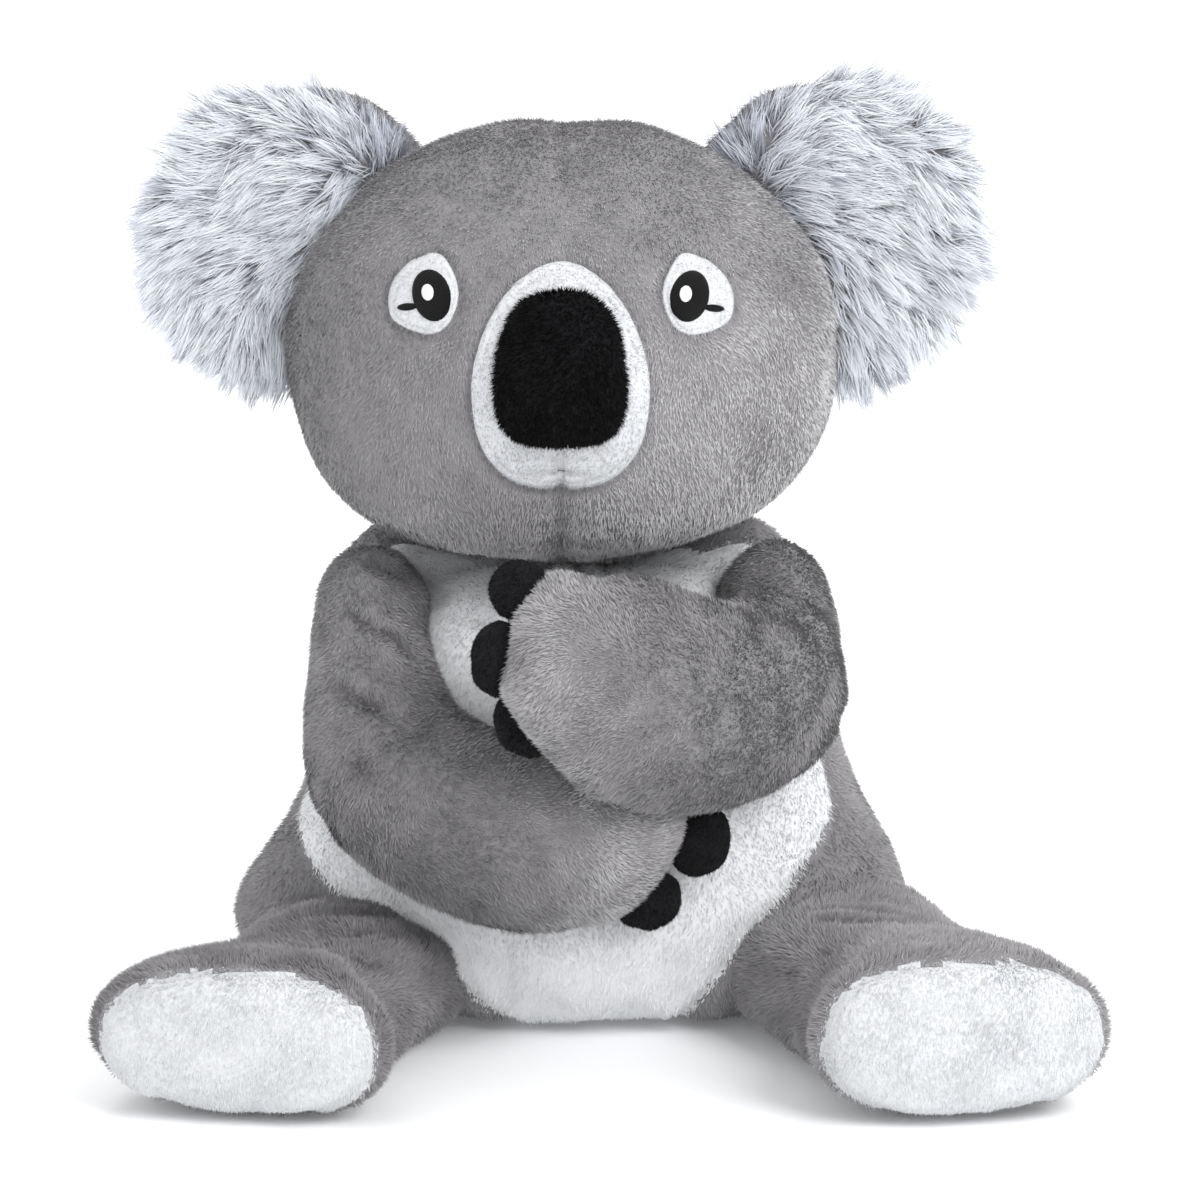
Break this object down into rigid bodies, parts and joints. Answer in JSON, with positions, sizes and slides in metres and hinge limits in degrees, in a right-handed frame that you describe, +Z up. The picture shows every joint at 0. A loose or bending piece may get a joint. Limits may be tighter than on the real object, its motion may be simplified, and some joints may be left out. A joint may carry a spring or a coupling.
{
  "type": "plush koala",
  "caption": "Seated plush koala with crossed arms, splayed legs, round long-pile ears and a large flat nose.",
  "frame": {"origin": "centre of the flat seat, on the surface the toy sits on", "axes": "+Z up, the toy faces -Y, the toy's own left side is +X"},
  "size_m": [0.404, 0.3037, 0.395],
  "materials": {
    "grey_plush": "short-pile grey plush",
    "white_plush": "short-pile white plush",
    "black_plush": "black velboa with a faint sheen",
    "black_felt": "matte black felt",
    "black_thread": "black satin stitch",
    "white_thread": "white satin stitch",
    "tipped_fur": "long white-tipped grey fur",
    "stuffing": "loose polyester fibre filling",
    "bead_pouch": "woven pouch of pellets"
  },
  "bodies": {
    "torso": {"torso_cover": "grey_plush", "belly_panel": "white_plush", "torso_filling": "stuffing", "seat_bead_pouch": "bead_pouch"},
    "neck": {"neck_gather": "grey_plush"},
    "head": {"head_cover": "grey_plush", "head_filling": "stuffing", "muzzle_patch": "white_plush", "nose": "black_plush", "left_eye_patch": "white_plush", "right_eye_patch": "white_plush", "left_pupil": "black_thread", "right_pupil": "black_thread", "left_eye_glint": "white_thread", "right_eye_glint": "white_thread", "left_lash": "black_thread", "right_lash": "black_thread"},
    "left_ear": {"left_ear_fur": "tipped_fur", "left_ear_back": "grey_plush"},
    "right_ear": {"right_ear_fur": "tipped_fur", "right_ear_back": "grey_plush"},
    "left_arm": {"left_arm_cover": "grey_plush", "left_arm_filling": "stuffing", "left_upper_claw": "black_felt", "left_middle_claw": "black_felt", "left_lower_claw": "black_felt"},
    "right_arm": {"right_arm_cover": "grey_plush", "right_arm_filling": "stuffing", "right_upper_claw": "black_felt", "right_middle_claw": "black_felt", "right_lower_claw": "black_felt"},
    "left_leg": {"left_leg_cover": "grey_plush", "left_leg_filling": "stuffing", "left_sole": "white_plush"},
    "right_leg": {"right_leg_cover": "grey_plush", "right_leg_filling": "stuffing", "right_sole": "white_plush"}
  },
  "joints": [
    {"name": "head_turn", "type": "hinge", "parent": "torso", "child": "neck", "pos_m": [-0.01009, 0.004, 0.172], "axis": [0, 0, 1], "range_deg": [-18, 18]},
    {"name": "head_nod", "type": "hinge", "parent": "neck", "child": "head", "pos_m": [-0.01009, 0.004, 0.172], "axis": [1, 0, 0], "range_deg": [-8, 8]},
    {"name": "left_ear_flop", "type": "hinge", "parent": "head", "child": "left_ear", "pos_m": [0.09, 0.008, 0.318], "axis": [-0.3746, 0, 0.9272], "range_deg": [-14, 14]},
    {"name": "right_ear_flop", "type": "hinge", "parent": "head", "child": "right_ear", "pos_m": [-0.122, 0.008, 0.318], "axis": [0.3746, 0, 0.9272], "range_deg": [-14, 14]},
    {"name": "left_arm_open", "type": "hinge", "parent": "torso", "child": "left_arm", "pos_m": [0.07226, -0.035, 0.166], "axis": [-0.2588, 0, 0.9659], "range_deg": [0, 75]},
    {"name": "right_arm_open", "type": "hinge", "parent": "torso", "child": "right_arm", "pos_m": [-0.09174, -0.035, 0.166], "axis": [0.2588, 0, 0.9659], "range_deg": [-22.5, 0]},
    {"name": "left_leg_spread", "type": "hinge", "parent": "torso", "child": "left_leg", "pos_m": [0.096, -0.048, 0.0355], "axis": [0, 0, 1], "range_deg": [-4, 15]},
    {"name": "right_leg_spread", "type": "hinge", "parent": "torso", "child": "right_leg", "pos_m": [-0.096, -0.048, 0.0355], "axis": [0, 0, -1], "range_deg": [-4, 15]}
  ],
  "couplings": [
    {"joint": "right_arm_open", "follows": "left_arm_open", "ratio": -0.3}
  ]
}
